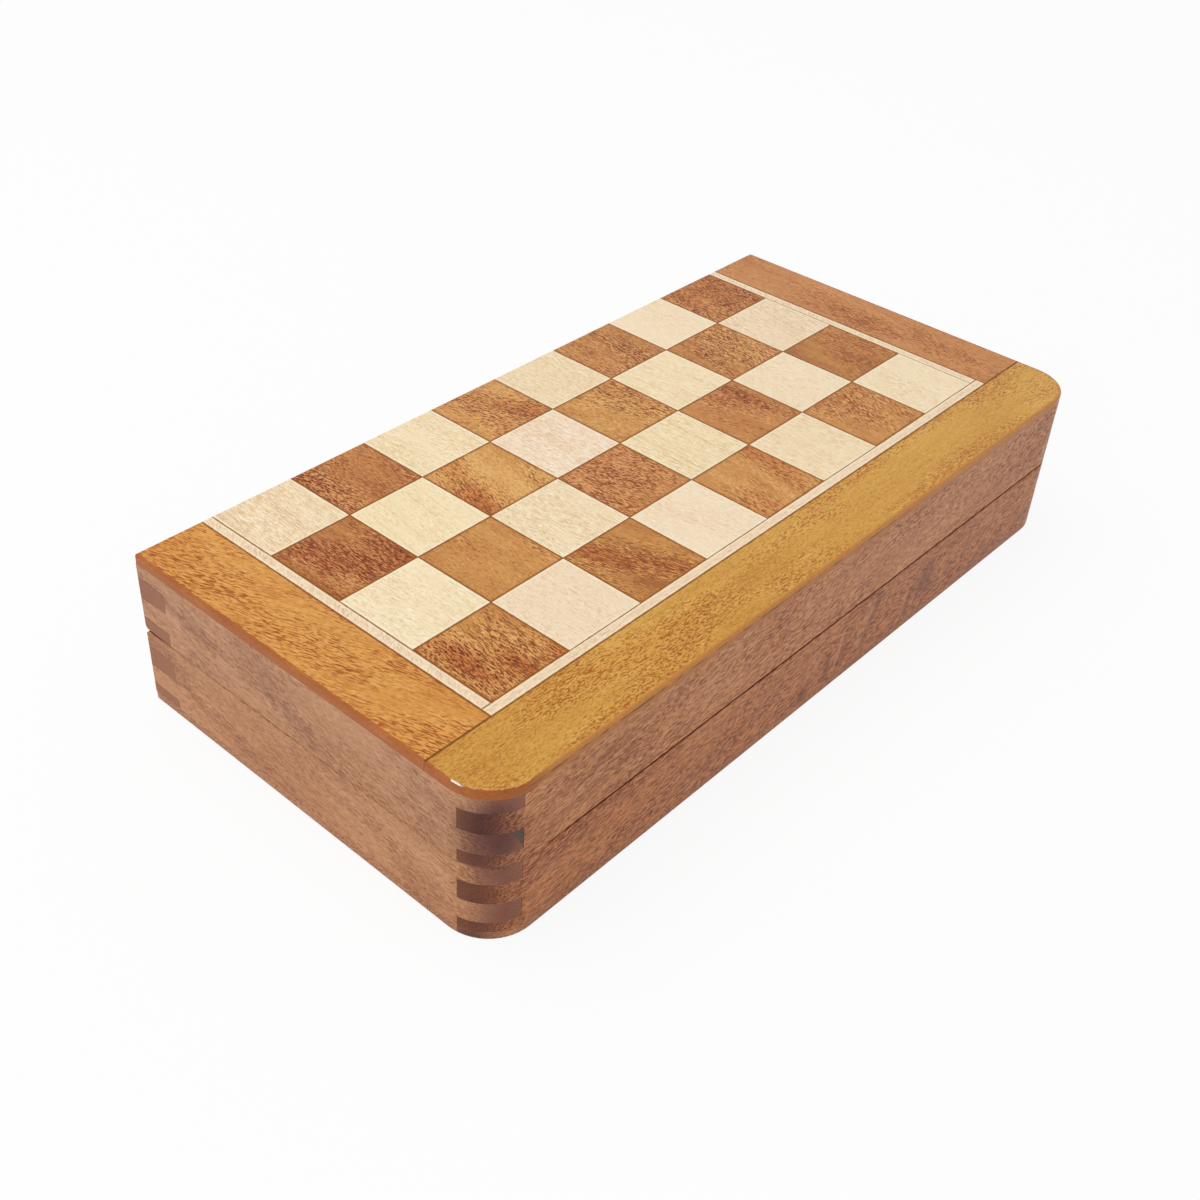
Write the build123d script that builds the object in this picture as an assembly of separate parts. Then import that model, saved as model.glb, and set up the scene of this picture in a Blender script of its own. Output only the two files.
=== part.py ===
from build123d import *
import os

# Folding chess box: two equal trays hinged along one long edge.
# Closed, the base lies on the ground and the lid lies on it upside down. Opened flat
# and turned over, the two outer faces make one playing board of eight rows.
# Frame: X along the hinge, the hinge at +Y, +Z up, origin under the centre of the closed box.

# Playing face
square_size = 26.0
hinge_row_depth = 24.3  # the row beside the hinge is trimmed by the final planing
files = 8
rows = 4
side_band = 23.8  # border and stringing together, beside the squares
front_band = 23.5  # border and stringing together, along the front edge
stringing_width = 3.2
face_thickness = 2.8
joint_gap = 0.12  # glue line between two pieces of the playing face

# Trays
half_height = 24.0
rim_gap = 0.3  # between the closed rims
wall_thickness = 10.6
panel_thickness = 3.0
front_corner_radius = 13.5
face_edge_radius = 0.6
hinge_edge_radius = 0.4
rim_chamfer = 0.3
hinge_rim_chamfer = 1.0

# Finger joints, counted from the playing face towards the rim
finger_pitch = 6.35
base_first_finger = 3.1
lid_first_finger = 4.2
finger_gap = 0.1  # glue line between two fingers

# Fitted insert for the chessmen
lining_thickness = 1.2
insert_thickness = 13.0
slot_width = 20.0
officer_slot_length = 50.0
pawn_slot_length = 34.0
slot_corner_radius = 2.0
insert_side_gap = 0.2  # between the foam and the walls

# Butt hinges
hinge_spacing = 150.0
hinge_length = 25.0
leaf_width = 8.4  # from the pin's axis to the edge of the leaf
leaf_thickness = 1.0
leaf_corner_radius = 0.8
leaf_side_gap = 0.05
barrel_radius = 2.0
barrel_clearance = 0.35
knuckle_gap = 0.2
pin_radius = 1.0
pin_clearance = 0.05
pin_setback = 0.1  # the pin's axis stands this far behind the back faces

# Countersunk wood screws
screws_per_leaf = 2
screw_spacing = 16.0
screw_inset = 5.4  # from the pin's axis
screw_length = 8.0
screw_radius = 1.1
screw_head_radius = 2.0
screw_head_sink = 0.1
screw_hole_gap = 0.05
screw_point_length = 1.6
screw_point_radius = 0.2
screw_slot_width = 0.5
screw_slot_depth = 0.45

# Closing magnets in the front rims
magnet_count = 2
magnet_spacing = 120.0
magnet_radius = 3.0
magnet_thickness = 2.0
magnet_sink = 0.05

# Worked out from the sizes above
field_length = files * square_size
board_length = field_length + 2 * side_band
board_depth = hinge_row_depth + (rows - 1) * square_size + front_band
front_y = -board_depth / 2
back_y = board_depth / 2
right_x = board_length / 2
border_front_width = front_band - stringing_width
rim_height = half_height - rim_gap / 2
panel_top = face_thickness + panel_thickness
insert_bottom = panel_top + lining_thickness
insert_top = insert_bottom + insert_thickness
inner_length = board_length - 2 * wall_thickness
inner_depth = board_depth - 2 * wall_thickness
hinge_axis_y = back_y + pin_setback
hinge_places = {"left": -hinge_spacing / 2, "right": hinge_spacing / 2}
slot_pitch = inner_length / files
slot_rail = (inner_depth - officer_slot_length - pawn_slot_length) / 3
overshoot = 1.0  # how far a cutter runs past what it cuts

os.makedirs("parts", exist_ok=True)


def block(x_low, x_high, y_low, y_high, z_low, z_high):
    """A box between two limits along each axis."""
    size = (x_high - x_low, y_high - y_low, z_high - z_low)
    return Pos(x_low, y_low, z_low) * Box(*size, align=(Align.MIN, Align.MIN, Align.MIN))


def standing(radius, height):
    """An upright round bar on the ground, or hanging below it where the height is negative."""
    seat = Align.MIN if height > 0 else Align.MAX
    return Cylinder(radius, abs(height), align=(Align.CENTER, Align.CENTER, seat))


def spread(count, spacing):
    """Positions along a line, spaced evenly about zero."""
    return [(index - (count - 1) / 2) * spacing for index in range(count)]


def group(shapes):
    """Separate solids kept together as one node."""
    return Compound(children=[shape.solids()[0] for shape in shapes])


def footprint(z_low, z_high):
    """The tray's outline as a solid: round corners in front, square ones at the hinge."""
    body = block(-right_x, right_x, front_y, back_y, z_low, z_high)
    upright = body.edges().filter_by(Axis.Z)
    return fillet(upright.group_by(Axis.Y)[0], front_corner_radius)


def eased_face():
    """The playing face in one piece, with its outer edges rounded over."""
    face = footprint(0, face_thickness)
    rim = face.edges().group_by(Axis.Z)[0].sort_by(Axis.Y)
    face = fillet(rim[:-1], face_edge_radius)
    hinge_edge = face.edges().filter_by(Axis.X).group_by(Axis.Z)[0].sort_by(Axis.Y)[-1]
    return fillet(hinge_edge, hinge_edge_radius)


def wall_envelope():
    """The outside of the four walls, with the outer edges of the rim bevelled."""
    body = footprint(face_thickness, rim_height)
    rim = body.edges().group_by(Axis.Z)[-1].sort_by(Axis.Y)
    body = chamfer(rim[:-1], rim_chamfer)
    hinge_edge = body.edges().filter_by(Axis.X).group_by(Axis.Z)[-1].sort_by(Axis.Y)[-1]
    return chamfer(hinge_edge, hinge_rim_chamfer)


def finger_bands(first_finger):
    """The heights of the fingers, from the playing face to the rim."""
    levels = [face_thickness, face_thickness + first_finger]
    while levels[-1] + finger_pitch < rim_height - finger_gap:
        levels.append(levels[-1] + finger_pitch)
    levels.append(rim_height)
    return list(zip(levels[:-1], levels[1:]))


def sockets(bands, x_low, x_high, y_low, y_high):
    """Cutters that leave room for the other wall's fingers in one corner."""
    cutters = []
    for low, high in bands:
        bottom = low - (overshoot if low == face_thickness else finger_gap / 2)
        top = high + (overshoot if high == rim_height else finger_gap / 2)
        cutters.append(block(x_low, x_high, y_low, y_high, bottom, top))
    return cutters


def long_wall(envelope, low_y, short_bands):
    """The front or back wall, with the side walls' fingers cut out of both ends."""
    high_y = low_y + wall_thickness
    wall = envelope & block(-right_x, right_x, low_y, high_y, face_thickness, rim_height)
    reach = right_x - wall_thickness - finger_gap
    for low_x, high_x in ((-right_x - overshoot, -reach), (reach, right_x + overshoot)):
        wall -= sockets(short_bands, low_x, high_x, low_y - overshoot, high_y + overshoot)
    return wall


def side_wall(envelope, low_x, long_bands):
    """The left or right wall, with the long walls' fingers cut out of both ends."""
    high_x = low_x + wall_thickness
    wall = envelope & block(low_x, high_x, front_y, back_y, face_thickness, rim_height)
    front_reach = front_y + wall_thickness + finger_gap
    back_reach = back_y - wall_thickness - finger_gap
    for low_y, high_y in ((front_y - overshoot, front_reach), (back_reach, back_y + overshoot)):
        wall -= sockets(long_bands, low_x - overshoot, high_x + overshoot, low_y, high_y)
    return wall


def squares(row, parity):
    """Every second square of one row; row 0 lies along the hinge."""
    high_y = back_y if row == 0 else back_y - hinge_row_depth - (row - 1) * square_size
    low_y = back_y - hinge_row_depth - row * square_size + joint_gap
    solids = []
    for file in range(files):
        if (file + row) % 2 != parity:
            continue
        low_x = file * square_size - field_length / 2 + joint_gap / 2
        high_x = low_x + square_size - joint_gap
        solids.append(block(low_x, high_x, low_y, high_y, 0, face_thickness))
    return solids


def face_pieces(face, dark_parity):
    """Borders, stringing and squares, all cut from the eased face."""
    border_end = front_y + border_front_width
    stringing_end = front_y + front_band
    field_x = field_length / 2
    stringing_x = field_x + stringing_width
    line = joint_gap
    regions = {
        "front_border": (-right_x, right_x, front_y, border_end),
        "left_border": (-right_x, -stringing_x - line, border_end + line, back_y),
        "right_border": (stringing_x + line, right_x, border_end + line, back_y),
        "front_stringing": (-stringing_x, stringing_x, border_end + line, stringing_end),
        "left_stringing": (-stringing_x, -field_x - line / 2, stringing_end + line, back_y),
        "right_stringing": (field_x + line / 2, stringing_x, stringing_end + line, back_y),
    }
    pieces = {}
    for name, region in regions.items():
        pieces[name] = face & block(*region, 0, face_thickness)
    for row in range(rows):
        for colour, parity in (("dark", dark_parity), ("light", 1 - dark_parity)):
            tiles = [face & tile for tile in squares(row, parity)]
            pieces[f"row{row + 1}_{colour}_squares"] = group(tiles)
    return pieces


def slot_centres():
    """The middle and length of every slot: officers beside the hinge, pawns in front."""
    officer_y = back_y - wall_thickness - slot_rail - officer_slot_length / 2
    pawn_y = front_y + wall_thickness + slot_rail + pawn_slot_length / 2
    places = []
    for x in spread(files, slot_pitch):
        places.append((x, officer_y, officer_slot_length))
        places.append((x, pawn_y, pawn_slot_length))
    return places


def inner_sheet(side_gap, z_low, z_high):
    """A flat sheet that fills the tray between its walls."""
    half_x = inner_length / 2 - side_gap
    half_y = inner_depth / 2 - side_gap
    return block(-half_x, half_x, -half_y, half_y, z_low, z_high)


def foam_insert():
    """Flocked foam, cut through for each chessman."""
    foam = inner_sheet(insert_side_gap, insert_bottom, insert_top)
    for x, y, length in slot_centres():
        outline = RectangleRounded(slot_width, length, slot_corner_radius)
        cutter = extrude(outline, insert_thickness + 2 * overshoot)
        foam -= Pos(x, y, insert_bottom - overshoot) * cutter
    return foam


def along_x(radius, x_low, x_high):
    """A round bar on the hinge axis."""
    return Pos(x_low, hinge_axis_y, half_height) * Rot(0, 90, 0) * standing(radius, x_high - x_low)


def knuckle_spans(owned_by_base):
    """The stretches of barrel on one leaf: the base has the two outer ones."""
    length = (hinge_length - 2 * knuckle_gap) / 3
    outer = hinge_length / 2
    if owned_by_base:
        return [(-outer, length - outer), (outer - length, outer)]
    return [(-length / 2, length / 2)]


def screw_places():
    """The screws of one leaf, from the middle of the hinge."""
    return [(x, hinge_axis_y - screw_inset) for x in spread(screws_per_leaf, screw_spacing)]


def countersink():
    """The hole in a leaf for one screw, a little larger than its head and shank."""
    depth = screw_head_radius - screw_radius + screw_head_sink
    hole_radius = screw_radius + screw_hole_gap
    cone = Pos(0, 0, rim_height - depth / 2) * Cone(hole_radius, hole_radius + depth, depth)
    return cone + Pos(0, 0, rim_height - depth) * standing(hole_radius, -screw_length)


def hinge_leaf(owned_by_base):
    """One leaf, let in flush with the rim, with its knuckles around the pin."""
    half = hinge_length / 2
    bottom = rim_height - leaf_thickness
    leaf = block(-half, half, hinge_axis_y - leaf_width, hinge_axis_y, bottom, rim_height)
    corners = leaf.edges().filter_by(Axis.Z).group_by(Axis.Y)[0]
    leaf = fillet(corners, leaf_corner_radius)
    room = barrel_radius + barrel_clearance
    for low, high in knuckle_spans(not owned_by_base):
        low_cut = low - knuckle_gap if low > -half else low - overshoot
        high_cut = high + knuckle_gap if high < half else high + overshoot
        leaf -= block(low_cut, high_cut, hinge_axis_y - room, hinge_axis_y + room, 0, half_height)
    for low, high in knuckle_spans(owned_by_base):
        leaf += along_x(barrel_radius, low, high)
    bore = pin_radius if owned_by_base else pin_radius + pin_clearance
    leaf -= along_x(bore, -half - overshoot, half + overshoot)
    for x, y in screw_places():
        leaf -= Pos(x, y, 0) * countersink()
    return leaf


def screw():
    """A countersunk wood screw with a straight slot and a turned point."""
    top = rim_height - screw_head_sink
    head = screw_head_radius - screw_radius
    body = Pos(0, 0, top - head / 2) * Cone(screw_radius, screw_head_radius, head)
    shank_length = screw_length - head - screw_point_length
    body += Pos(0, 0, top - head - shank_length / 2) * Cylinder(screw_radius, shank_length)
    point = Cone(screw_point_radius, screw_radius, screw_point_length)
    body += Pos(0, 0, top - screw_length + screw_point_length / 2) * point
    slot = Box(2 * screw_head_radius, screw_slot_width, 2 * screw_slot_depth)
    return body - Pos(0, 0, top) * slot


def hinge_pin():
    """The steel pin, held in the base's knuckles."""
    half = hinge_length / 2
    return along_x(pin_radius, -half, half)


def hinge_cuts():
    """What the back wall loses to its hinges: leaf recess, barrel groove, pilot holes."""
    cutters = []
    half = hinge_length / 2 + leaf_side_gap
    room = barrel_radius + barrel_clearance
    recess_y = hinge_axis_y - leaf_width - leaf_side_gap
    recess_z = rim_height - leaf_thickness
    for hinge_x in hinge_places.values():
        low_x = hinge_x - half
        high_x = hinge_x + half
        cutters.append(block(low_x, high_x, recess_y, back_y + overshoot, recess_z, half_height))
        cutters.append(along_x(room, low_x, high_x))
        for x, y in screw_places():
            bottom = rim_height - screw_head_sink - screw_length
            cutters.append(Pos(hinge_x + x, y, bottom) * standing(screw_radius, screw_length + overshoot))
    return cutters


def magnet_places():
    """The magnets lie in the middle of the front wall's rim."""
    return [(x, front_y + wall_thickness / 2) for x in spread(magnet_count, magnet_spacing)]


def magnet_disc(extra_height):
    """A disc magnet, or the hole for it when extra_height opens it upwards."""
    bottom = rim_height - magnet_sink - magnet_thickness
    return Pos(0, 0, bottom) * standing(magnet_radius, magnet_thickness + extra_height)


def tray(name, first_finger, long_wall_first, dark_parity):
    """One half of the box, lying on its playing face."""
    bands = finger_bands(first_finger)
    long_bands = bands[0::2] if long_wall_first else bands[1::2]
    short_bands = bands[1::2] if long_wall_first else bands[0::2]
    envelope = wall_envelope()
    front_wall = long_wall(envelope, front_y, short_bands)
    back_wall = long_wall(envelope, back_y - wall_thickness, short_bands)
    for x, y in magnet_places():
        front_wall -= Pos(x, y, 0) * magnet_disc(overshoot)
    back_wall -= hinge_cuts()
    pieces = {
        "front_wall": front_wall,
        "back_wall": back_wall,
        "left_wall": side_wall(envelope, -right_x, long_bands),
        "right_wall": side_wall(envelope, right_x - wall_thickness, long_bands),
        "panel": inner_sheet(0, face_thickness, panel_top),
        "floor_lining": inner_sheet(insert_side_gap, panel_top, insert_bottom),
        "insert": foam_insert(),
        "magnets": group([Pos(x, y, 0) * magnet_disc(0) for x, y in magnet_places()]),
    }
    pieces.update(face_pieces(eased_face(), dark_parity))
    screws = []
    for hinge_x in hinge_places.values():
        screws += [Pos(hinge_x + x, y, 0) * screw() for x, y in screw_places()]
    pieces["hinge_screws"] = group(screws)
    return {f"{name}_{piece}": shape for piece, shape in pieces.items()}


def turned_over(shape):
    """A piece of the lid, brought from lying on the ground to its closed place."""
    return mirror(shape, Plane.XY.offset(half_height))


def save(name, shape):
    """One file for each node."""
    export_step(shape, f"parts/{name}.step")
    print(name, len(shape.solids()), round(shape.volume, 1))


base = tray("base", base_first_finger, True, 0)
lid = tray("lid", lid_first_finger, False, 1)
for name, shape in base.items():
    save(name, shape)
for name, shape in lid.items():
    save(name, turned_over(shape))

for side, hinge_x in hinge_places.items():
    save(f"{side}_hinge_base_leaf", Pos(hinge_x, 0, 0) * hinge_leaf(True))
    save(f"{side}_hinge_lid_leaf", Pos(hinge_x, 0, 0) * turned_over(hinge_leaf(False)))
    save(f"{side}_hinge_pin", Pos(hinge_x, 0, 0) * hinge_pin())
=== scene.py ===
import math

import bmesh
import bpy
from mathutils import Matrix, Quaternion, Vector, noise


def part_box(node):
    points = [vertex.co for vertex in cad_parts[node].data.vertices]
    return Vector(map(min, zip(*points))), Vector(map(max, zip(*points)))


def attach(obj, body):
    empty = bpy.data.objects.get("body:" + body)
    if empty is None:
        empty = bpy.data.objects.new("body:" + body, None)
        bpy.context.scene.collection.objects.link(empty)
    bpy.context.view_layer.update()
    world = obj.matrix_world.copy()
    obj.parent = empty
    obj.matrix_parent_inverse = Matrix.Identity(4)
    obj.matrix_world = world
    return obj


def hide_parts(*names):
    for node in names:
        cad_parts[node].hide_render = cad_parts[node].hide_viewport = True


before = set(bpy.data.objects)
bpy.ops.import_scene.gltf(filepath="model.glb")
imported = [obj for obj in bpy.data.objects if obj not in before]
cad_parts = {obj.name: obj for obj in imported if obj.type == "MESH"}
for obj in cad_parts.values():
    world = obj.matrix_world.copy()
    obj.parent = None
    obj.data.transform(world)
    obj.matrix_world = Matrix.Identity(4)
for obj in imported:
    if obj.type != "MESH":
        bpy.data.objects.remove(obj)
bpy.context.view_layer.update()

mm = 0.001
halves = ("base", "lid")


def tone(red, green, blue):
    # a colour as it is seen, each channel from 0 to 255, in the linear values that Blender mixes
    channels = []
    for value in (red, green, blue):
        share = value / 255
        straight = share / 12.92
        curved = ((share + 0.055) / 1.055) ** 2.4
        channels.append(straight if share <= 0.04045 else curved)
    return (*channels, 1.0)


def tones(dark, middle, light, margin=0.15):
    # the stops of a ramp from a dark tone to a light one
    return [(margin, dark), (0.5, middle), (1 - margin, light)]


def lengths(*values):
    # millimetres in the metres that Blender uses
    return tuple(value * mm for value in values)


def vary(look, **changes):
    return {**look, **changes}


def addNode(tree, kind, inputs, **settings):
    # a new node; each input takes a plain value or is linked to another node's output
    made = tree.nodes.new("ShaderNode" + kind)
    for key, value in settings.items():
        setattr(made, key, value)
    for key, value in inputs.items():
        if isinstance(value, bpy.types.NodeSocket):
            tree.links.new(value, made.inputs[key])
        else:
            made.inputs[key].default_value = value
    return made


class Material:
    # a material's node tree, made one node at a time

    def __init__(self, name):
        self.material = bpy.data.materials.new(name)
        self.material.use_nodes = True
        self.tree = self.material.node_tree
        self.tree.nodes.clear()
        self.output = self.tree.nodes.new("ShaderNodeOutputMaterial")
        self.place = self.node("TexCoord", {}).outputs["Object"]
        self.x, self.y, self.z = self.parts(self.place)

    def node(self, kind, inputs, **settings):
        return addNode(self.tree, kind, inputs, **settings)

    def maths(self, operation, *values, clamp=False):
        return self.node("Math", dict(enumerate(values)), operation=operation, use_clamp=clamp).outputs[0]

    def times(self, first, second, clamp=False):
        return self.maths("MULTIPLY", first, second, clamp=clamp)

    def minus(self, first, second, clamp=False):
        return self.maths("SUBTRACT", first, second, clamp=clamp)

    def timesPlus(self, value, factor, offset):
        return self.maths("MULTIPLY_ADD", value, factor, offset)

    def vector(self, operation, first, second=(0, 0, 0)):
        made = self.node("VectorMath", {0: first, 1: second}, operation=operation)
        return made.outputs["Value" if operation in ("DOT_PRODUCT", "LENGTH") else "Vector"]

    def parts(self, vector):
        return self.node("SeparateXYZ", {0: vector}).outputs

    def joined(self, *parts):
        return self.node("CombineXYZ", dict(enumerate(parts))).outputs[0]

    def stretch(self, place, scale):
        # one scale for every axis, or one for each
        return self.vector("MULTIPLY", place, scale if isinstance(scale, tuple) else (scale,) * 3)

    def noise(self, place, scale, detail=2.0, roughness=0.5):
        made = self.node("TexNoise", {
            "Vector": self.stretch(place, scale), "Scale": 1.0, "Detail": detail, "Roughness": roughness,
        })
        return made.outputs[0]

    def drift(self, place, scale, reach):
        # a slow wander of the place itself, as far as reach along each axis
        made = self.node("TexNoise", {"Vector": self.stretch(place, scale), "Scale": 1.0, "Detail": 1.0})
        centred = self.vector("SUBTRACT", made.outputs["Color"], (0.5, 0.5, 0.5))
        return self.vector("ADD", place, self.vector("MULTIPLY", centred, reach))

    def step(self, value, low, high):
        # 0 at low, 1 at high, smooth between them
        made = self.node("MapRange", {0: value, 1: low, 2: high}, interpolation_type="SMOOTHSTEP")
        return made.outputs[0]

    def add(self, level, source, share):
        # a source that varies around a half, added to a level
        return self.timesPlus(self.minus(source, 0.5), share, level)

    def mix(self, share, first, second, blend="MIX"):
        # each of the two is the colour of another node or a plain tone
        first, second = (tone(*over) if isinstance(over, tuple) else over for over in (first, second))
        made = self.node("Mix", {0: share, 6: first, 7: second}, data_type="RGBA", blend_type=blend)
        return made.outputs[2]

    def lay(self, colour, over, share, strength, blend="MIX"):
        # one tone laid over a colour, where share says and as strong as strength says
        return self.mix(self.times(share, strength), colour, over, blend)

    def ramp(self, value, stops):
        made = self.node("ValToRGB", {0: value})
        bar = made.color_ramp
        bar.interpolation = "EASE"
        while len(bar.elements) < len(stops):
            bar.elements.new(1.0)
        for element, (place, colour) in zip(bar.elements, stops):
            element.position = place
            element.color = tone(*colour)
        return made.outputs[0]

    def drops(self, place, scale, size, soft, limit):
        # one slim drop in each cell, of uneven size; only the cells under limit hold one
        cells = {"Vector": self.stretch(place, scale), "Scale": 1.0, "Randomness": 1.0}
        made = self.node("TexVoronoi", cells)
        chance = self.node("SeparateColor", {0: made.outputs["Color"]}).outputs
        reach = self.times(size, self.timesPlus(chance[0], 0.8, 0.55))
        drop = self.step(made.outputs["Distance"], reach, self.times(reach, soft))
        return self.times(drop, self.maths("LESS_THAN", chance[1], limit))

    def spot(self, centre, reach):
        # a soft round patch: 1 in its middle, 0 beyond its reach
        offset = self.vector("DIVIDE", self.vector("SUBTRACT", self.place, centre), reach)
        return self.step(self.vector("LENGTH", offset), 1.0, 0.15)

    def stroke(self, start, end, width):
        # a thin straight line between two places
        start, end = Vector(start), Vector(end)
        heading = (end - start).normalized()
        offset = self.vector("SUBTRACT", self.place, tuple(start))
        along = self.maths("MAXIMUM", self.vector("DOT_PRODUCT", offset, tuple(heading)), 0.0)
        along = self.maths("MINIMUM", along, (end - start).length)
        onLine = self.node("VectorMath", {0: tuple(heading), "Scale": along}, operation="SCALE").outputs[0]
        return self.step(self.vector("LENGTH", self.vector("SUBTRACT", offset, onLine)), width, width * 0.3)

    def bump(self, height, depth, under=None):
        inputs = {"Strength": 1.0, "Distance": depth, "Height": height}
        if under is not None:
            inputs["Normal"] = under
        return self.node("Bump", inputs).outputs[0]

    def facing(self, axis):
        # how squarely the surface faces along an axis, from either side
        normal = self.node("TexCoord", {}).outputs["Normal"]
        return self.maths("ABSOLUTE", self.vector("DOT_PRODUCT", normal, axis))

    def surface(self, inputs, kind="BsdfPrincipled"):
        shader = self.node(kind, inputs)
        self.tree.links.new(shader.outputs[0], self.output.inputs[0])
        return self.material


def give(material, *names):
    for name in names:
        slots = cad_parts[name].data.materials
        slots.clear()
        slots.append(material)


board = {
    "squareSize": 26 * mm,
    "cornerRadius": 13.5 * mm,
    "faceThickness": 2.8 * mm,
    "fieldLeft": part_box("lid_row2_dark_squares")[0].x,  # the left edge of the first file
    "rowEdge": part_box("lid_row2_dark_squares")[1].y,  # the joint between the first two rows
}

plank = {
    "seedStep": (1.37, 0.71, 0.93),  # how far apart two seeds lie in the plank
    "draws": ((3, 7), (23, 17)),
    "squareReach": (3, 3, 3),  # how far apart two squares can lie in it
    "squareStain": (1.4, 0.1),  # how much the stain differs from square to square
}

stripShape = {
    "corner": (lengths(-106, -118), lengths(-42, -54)),  # the near corner, along x and along y
    "front": (lengths(-120, -106), lengths(-50, -58)),  # where the left strip turns into the front one
    "wallEnd": lengths(-52.1, -52.4),  # where the end of the front wall begins
    "sideTop": lengths(0.5, 0.7),  # below this, all of the side is strip
    "sideReach": 10 * mm,
    # where the painted highlight along the strip runs
    "rubbed": lengths(0.30, 0.08),
    "nickDepth": 1.4 * mm,
    "nickReach": lengths(0.45, 0.1),
    "nickEnd": lengths(60, 0),
    "nickScale": (140, 140, 500),
    "nickZone": (0.44, 0.60),
    "raggedScale": 900,
    "outerSoft": (1.12, 0.88),  # where the strip's edge starts and ends, as shares of its width
    "sideways": (0.45, 0.9),
}

seamShape = {
    "start": lengths(-124, -92),  # along the front, from nothing to full
    "left": lengths(-108, -112),
    "back": lengths(50, 60),
    "width": lengths(0.40, 0.22),
    "inset": lengths(0.6, 0.4),
    "upward": (0.9, 0.99),  # how squarely the rim faces up
}

jointShape = {
    "scale": 700,
    "uneven": (1.2, 0.4),
    "soft": (1.6, 0.5),  # where the line starts and ends, as shares of its width
    "hemSoft": 0.4,
    "upward": (0.85, 0.97),
}


def squareNumbers(mat):
    # which square of the board a place is in, and how far it lies from that square's edge
    offset = mat.vector("SUBTRACT", mat.place, (board["fieldLeft"], board["rowEdge"], 0))
    counted = mat.vector("DIVIDE", offset, (board["squareSize"],) * 3)
    whole = mat.vector("FLOOR", counted)
    fromMiddle = mat.vector("SUBTRACT", mat.vector("SUBTRACT", counted, whole), (0.5, 0.5, 0.5))
    sides = mat.parts(mat.vector("ABSOLUTE", fromMiddle))
    inset = mat.times(mat.minus(0.5, mat.maths("MAXIMUM", sides[0], sides[1])), board["squareSize"])
    return mat.vector("MULTIPLY", whole, (1, 1, 0)), inset


def sideInset(mat, name):
    # how far a place lies inside the sides of a piece, seen from above
    low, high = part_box(name)
    fromMiddle = mat.vector("ABSOLUTE", mat.vector("SUBTRACT", mat.place, tuple((low + high) / 2)))
    left = mat.parts(mat.vector("SUBTRACT", tuple((high - low) / 2), fromMiddle))
    return mat.maths("MINIMUM", left[0], left[1])


def outlineInset(mat):
    # how far a place lies inside the outline of the box, seen from above
    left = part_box("lid_left_border")[0].x
    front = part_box("lid_front_border")[0].y
    radius = board["cornerRadius"]
    aside = mat.minus(mat.maths("ABSOLUTE", mat.x), -left - radius)
    ahead = mat.minus(mat.times(mat.y, -1.0), -front - radius)
    outer = mat.joined(mat.maths("MAXIMUM", aside, 0.0), mat.maths("MAXIMUM", ahead, 0.0))
    within = mat.maths("MINIMUM", mat.maths("MAXIMUM", aside, ahead), 0.0)
    return mat.minus(mat.minus(radius, mat.vector("LENGTH", outer)), within)


def zoneShare(mat, limits):
    # 1 beyond the limits along x and along y, 0 before them
    return mat.times(mat.step(mat.x, *limits[0]), mat.step(mat.y, *limits[1]))


def plankPlace(mat, look):
    # where a place lies in the plank that it was cut from, turned so that the fibres run along X
    seed = look["seed"]
    grain = mat.vector("ADD", mat.place, tuple(seed * step for step in plank["seedStep"]))
    slope = math.radians(look["slope"])
    dice = inset = None
    if look["tiles"]:  # every square is cut from another place in the plank
        square, inset = squareNumbers(mat)
        drawn = []
        for shift in plank["draws"]:
            made = mat.node("TexWhiteNoise", {"Vector": mat.vector("ADD", square, (seed, *shift))})
            drawn.append(made.outputs["Color"])
        dice = [number for draw in drawn for number in mat.node("SeparateColor", {0: draw}).outputs]
        grain = mat.vector("ADD", grain, mat.vector("MULTIPLY", drawn[0], plank["squareReach"]))
        slope = mat.timesPlus(mat.minus(dice[2], 0.5), look["tileTurn"], slope)
    turned = mat.node("VectorRotate", {"Vector": grain, "Angle": slope}, rotation_type=look["slopeAxis"])
    grain = turned.outputs[0]
    if look["grain"] == "Y":
        parts = mat.parts(grain)
        grain = mat.joined(parts[1], parts[0], parts[2])
    mat.grain = mat.drift(grain, look["swayScale"], (0, look["sway"], look["sway"]))
    mat.dice, mat.inset = dice, inset


def brushedRelief(mat, look):
    # the surface between the pores: its height, and its rise from one side of a fibre to the other, which
    # the colour takes up as painted light and shade
    mat.loose = mat.drift(mat.grain, look["dashDriftScale"], (look["dashDrift"],) * 3)
    mat.height = mat.noise(mat.loose, look["dashScale"], 1.5, 0.6)
    beside = mat.vector("ADD", mat.loose, look["reliefStep"])
    mat.rise = mat.minus(mat.noise(beside, look["dashScale"], 1.5, 0.6), mat.height)


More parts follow.
